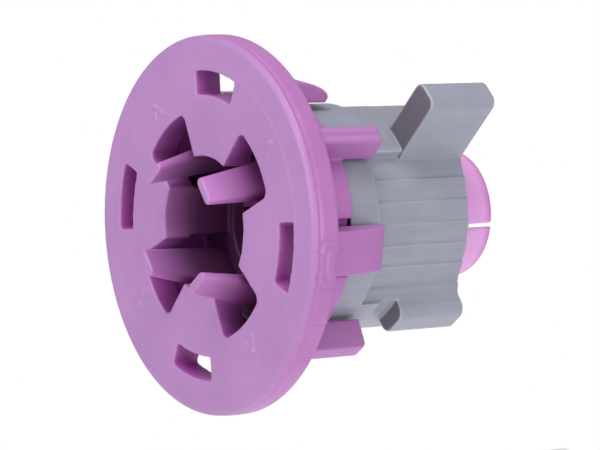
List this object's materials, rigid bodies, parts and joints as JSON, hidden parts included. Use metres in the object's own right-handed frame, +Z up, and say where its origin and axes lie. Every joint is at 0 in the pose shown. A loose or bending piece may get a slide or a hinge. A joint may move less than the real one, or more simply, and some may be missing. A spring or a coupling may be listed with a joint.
{
  "type": "through-stud pipe insulator",
  "caption": "Round flanged plastic insulator that snaps into a stud hole and grips a pipe with spring fingers and a collet closed by a twist ring with levers.",
  "frame": {"origin": "on the pipe's axis, in the flange's rear face, which lies against the stud", "axes": "+Y along the pipe from the flange towards the collet; the snap legs lie on +X, +Z, -X and -Z; +Z is up"},
  "size_m": [0.05, 0.0463, 0.05],
  "materials": {
    "body": "satin moulded purple plastic",
    "collet": "satin moulded pink-purple plastic, slightly translucent where thin",
    "ring": "satin moulded grey plastic"
  },
  "bodies": {
    "body": {"flange_body": "body"},
    "ring": {"locking_ring": "ring"},
    "leg_1": {"snap_leg_1": "body"},
    "leg_2": {"snap_leg_2": "body"},
    "leg_3": {"snap_leg_3": "body"},
    "leg_4": {"snap_leg_4": "body"},
    "finger_1": {"grip_finger_1": "body"},
    "finger_2": {"grip_finger_2": "body"},
    "finger_3": {"grip_finger_3": "body"},
    "finger_4": {"grip_finger_4": "body"},
    "petal_1": {"collet_petal_1": "collet"},
    "petal_2": {"collet_petal_2": "collet"},
    "petal_3": {"collet_petal_3": "collet"},
    "petal_4": {"collet_petal_4": "collet"}
  },
  "joints": [
    {"name": "ring_turn", "type": "hinge", "parent": "body", "child": "ring", "pos_m": [0, 0.0086, 0], "axis": [0, 1, 0], "range_deg": [0, 90]},
    {"name": "leg_flex_1", "type": "hinge", "parent": "body", "child": "leg_1", "pos_m": [0.01625, 0.0003, 0], "axis": [0, 0, 1], "range_deg": [0, 2], "stiffness_Nm_per_rad": 0.3},
    {"name": "leg_flex_2", "type": "hinge", "parent": "body", "child": "leg_2", "pos_m": [0, 0.0003, 0.01625], "axis": [-1, 0, 0], "range_deg": [0, 2], "stiffness_Nm_per_rad": 0.3},
    {"name": "leg_flex_3", "type": "hinge", "parent": "body", "child": "leg_3", "pos_m": [-0.01625, 0.0003, 0], "axis": [0, 0, -1], "range_deg": [0, 2], "stiffness_Nm_per_rad": 0.3},
    {"name": "leg_flex_4", "type": "hinge", "parent": "body", "child": "leg_4", "pos_m": [0, 0.0003, -0.01625], "axis": [1, 0, 0], "range_deg": [0, 2], "stiffness_Nm_per_rad": 0.3},
    {"name": "finger_flex_1", "type": "hinge", "parent": "body", "child": "finger_1", "pos_m": [0.00845, 0.0061, 0.00845], "axis": [-0.7071, 0, 0.7071], "range_deg": [0, 4], "stiffness_Nm_per_rad": 0.3},
    {"name": "finger_flex_2", "type": "hinge", "parent": "body", "child": "finger_2", "pos_m": [-0.00845, 0.0061, 0.00845], "axis": [-0.7071, 0, -0.7071], "range_deg": [0, 4], "stiffness_Nm_per_rad": 0.3},
    {"name": "finger_flex_3", "type": "hinge", "parent": "body", "child": "finger_3", "pos_m": [-0.00845, 0.0061, -0.00845], "axis": [0.7071, 0, -0.7071], "range_deg": [0, 4], "stiffness_Nm_per_rad": 0.3},
    {"name": "finger_flex_4", "type": "hinge", "parent": "body", "child": "finger_4", "pos_m": [0.00845, 0.0061, -0.00845], "axis": [0.7071, 0, 0.7071], "range_deg": [0, 4], "stiffness_Nm_per_rad": 0.3},
    {"name": "petal_close_1", "type": "hinge", "parent": "body", "child": "petal_1", "pos_m": [0.00619, 0.0085, 0.00619], "axis": [-0.7071, 0, 0.7071], "range_deg": [0, 0.5]},
    {"name": "petal_close_2", "type": "hinge", "parent": "body", "child": "petal_2", "pos_m": [-0.00619, 0.0085, 0.00619], "axis": [-0.7071, 0, -0.7071], "range_deg": [0, 0.5]},
    {"name": "petal_close_3", "type": "hinge", "parent": "body", "child": "petal_3", "pos_m": [-0.00619, 0.0085, -0.00619], "axis": [0.7071, 0, -0.7071], "range_deg": [0, 0.5]},
    {"name": "petal_close_4", "type": "hinge", "parent": "body", "child": "petal_4", "pos_m": [0.00619, 0.0085, -0.00619], "axis": [0.7071, 0, 0.7071], "range_deg": [0, 0.5]}
  ],
  "couplings": [
    {"joint": "petal_close_1", "follows": "ring_turn", "ratio": 0.0055},
    {"joint": "petal_close_2", "follows": "ring_turn", "ratio": 0.0055},
    {"joint": "petal_close_3", "follows": "ring_turn", "ratio": 0.0055},
    {"joint": "petal_close_4", "follows": "ring_turn", "ratio": 0.0055}
  ]
}
